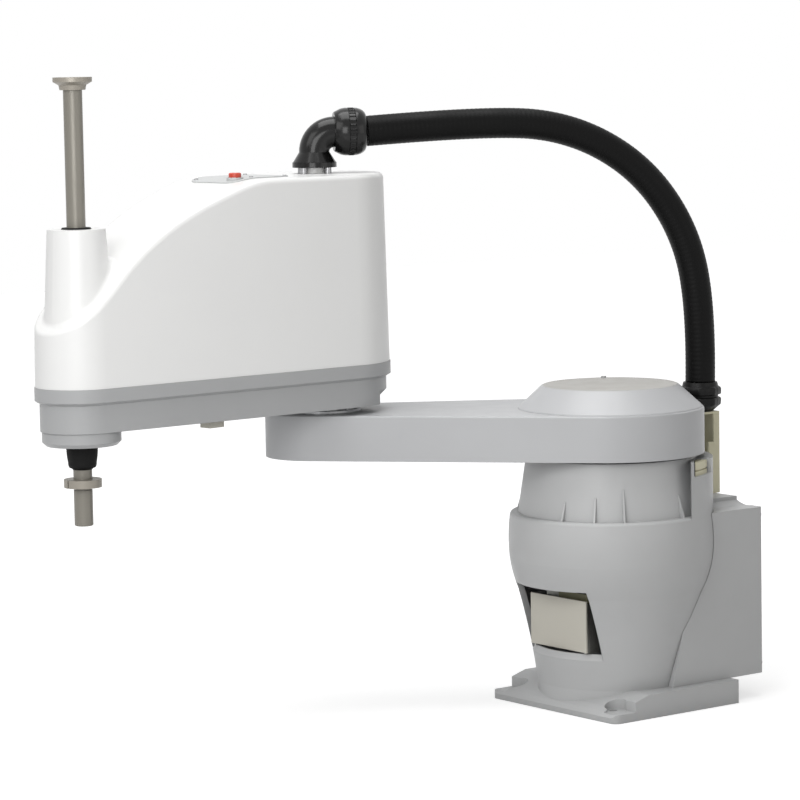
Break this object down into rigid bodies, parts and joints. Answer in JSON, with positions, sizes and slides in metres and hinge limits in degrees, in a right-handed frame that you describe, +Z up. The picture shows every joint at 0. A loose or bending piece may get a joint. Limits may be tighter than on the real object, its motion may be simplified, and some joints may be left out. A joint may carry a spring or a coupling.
{
  "type": "scara robot",
  "caption": "Pedestal assembly robot: two arms that swing level, a lifting and turning quill at the tip, a tall hollow cover and a cable hose arching back to the base.",
  "frame": {"origin": "centre of the mounting face on the first arm's turning axis", "axes": "+Z up along the first axis, +X out of the base's front window, +Y to the base's left side"},
  "size_m": [0.7994, 0.4091, 0.7097],
  "materials": {
    "base_paint": "satin",
    "arm_paint": "satin",
    "tray_paint": "satin",
    "white_cover": "gloss",
    "beige_plastic": "matte",
    "olive_plastic": "matte",
    "black_plastic": "satin",
    "black_hose": "satin",
    "black_rubber": "matte",
    "red_plastic": "gloss",
    "label_grey": "matte",
    "cream_paint": "satin",
    "zinc_steel": "satin",
    "motor_paint": "satin",
    "bearing_steel": "satin",
    "screw_steel": "satin",
    "plate_aluminium": "satin",
    "fitting_brass": "satin",
    "quill_steel": "satin"
  },
  "bodies": {
    "base": {"base_casting": "base_paint", "base_front_plate": "beige_plastic", "plate_bracket": "zinc_steel", "terminal_block": "olive_plastic", "rear_housing": "base_paint", "rear_panel": "base_paint", "rear_panel_screws": "screw_steel", "power_connector": "black_plastic", "signal_connector": "black_plastic", "air_fittings": "fitting_brass", "hose_post": "cream_paint", "hose_socket": "black_plastic", "harness_connector": "cream_paint", "j1_motor": "motor_paint", "j1_reducer_ring": "bearing_steel", "j1_ring_screws": "screw_steel", "cable_hose": "black_hose"},
    "inner_arm": {"j1_output": "bearing_steel", "inner_arm_casting": "arm_paint", "inner_arm_plate": "arm_paint", "arm_plate_screws": "screw_steel", "j1_cap": "arm_paint", "j2_reducer_ring": "bearing_steel", "j2_ring_screws": "screw_steel"},
    "outer_arm": {"outer_casting": "tray_paint", "drive_plate": "plate_aluminium", "outer_cover": "white_cover", "top_panel": "label_grey", "top_panel_screws": "screw_steel", "button_bezel": "label_grey", "button_switch": "black_plastic", "elbow_studs": "screw_steel", "swivel_flange": "black_plastic", "j2_output": "bearing_steel", "j2_motor": "motor_paint", "lift_motor": "motor_paint", "roll_motor": "motor_paint", "lift_belt": "black_rubber", "roll_belt": "black_rubber", "ball_nut_bearing": "bearing_steel", "spline_bearing": "bearing_steel", "tower_seal": "black_rubber", "quill_boot": "black_rubber", "stop_block": "beige_plastic"},
    "elbow": {"hose_elbow": "black_plastic", "coupling_nut": "black_plastic"},
    "button": {"brake_button": "red_plastic"},
    "lift_nut": {"ball_nut": "bearing_steel", "lift_pulley": "plate_aluminium"},
    "lift_drive": {"lift_motor_pulley": "plate_aluminium"},
    "roll_nut": {"spline_nut": "bearing_steel", "roll_pulley": "plate_aluminium"},
    "roll_drive": {"roll_motor_pulley": "plate_aluminium"},
    "quill": {"quill_shaft": "quill_steel", "stop_cap": "quill_steel", "stop_collar": "quill_steel"}
  },
  "joints": [
    {"name": "j1_turn", "type": "hinge", "parent": "base", "child": "inner_arm", "pos_m": [0, 0, 0.28], "axis": [0, 0, 1], "range_deg": [-74, 156], "deforming": ["cable_hose"]},
    {"name": "j2_turn", "type": "hinge", "parent": "inner_arm", "child": "outer_arm", "pos_m": [0.24528, -0.21322, 0.336], "axis": [0, 0, 1], "range_deg": [-177.8, 82.2]},
    {"name": "roll_turn", "type": "hinge", "parent": "outer_arm", "child": "roll_nut", "pos_m": [0.58488, -0.17272, 0.352], "axis": [0, 0, 1], "range_deg": [-360, 360]},
    {"name": "quill_slide", "type": "slide", "parent": "roll_nut", "child": "quill", "axis": [0, 0, 1], "range_m": [-0.14, 0.005]},
    {"name": "lift_nut_turn", "type": "hinge", "parent": "outer_arm", "child": "lift_nut", "pos_m": [0.58488, -0.17272, 0.407], "axis": [0, 0, 1], "range_deg": [-2521, 91]},
    {"name": "lift_drive_turn", "type": "hinge", "parent": "outer_arm", "child": "lift_drive", "pos_m": [0.44576, -0.16313, 0.397], "axis": [0, 0, 1], "range_deg": [-5041, 181]},
    {"name": "roll_drive_turn", "type": "hinge", "parent": "outer_arm", "child": "roll_drive", "pos_m": [0.45192, -0.21476, 0.367], "axis": [0, 0, 1], "range_deg": [-721, 721]},
    {"name": "elbow_turn", "type": "hinge", "parent": "outer_arm", "child": "elbow", "pos_m": [0.24528, -0.21322, 0.606], "axis": [0, 0, 1], "range_deg": [-82.3, 177.9]},
    {"name": "button_press", "type": "slide", "parent": "outer_arm", "child": "button", "axis": [0, 0, -1], "range_m": [0, 0.0025], "stiffness_N_per_m": 400, "springref_m": -0.001}
  ],
  "couplings": [
    {"joint": "lift_nut_turn", "follows": "quill_slide", "rad_per_m": 314.16},
    {"joint": "lift_drive_turn", "follows": "quill_slide", "rad_per_m": 628.32},
    {"joint": "roll_drive_turn", "follows": "roll_turn", "ratio": 2},
    {"joint": "elbow_turn", "follows": "j2_turn", "ratio": -1}
  ]
}
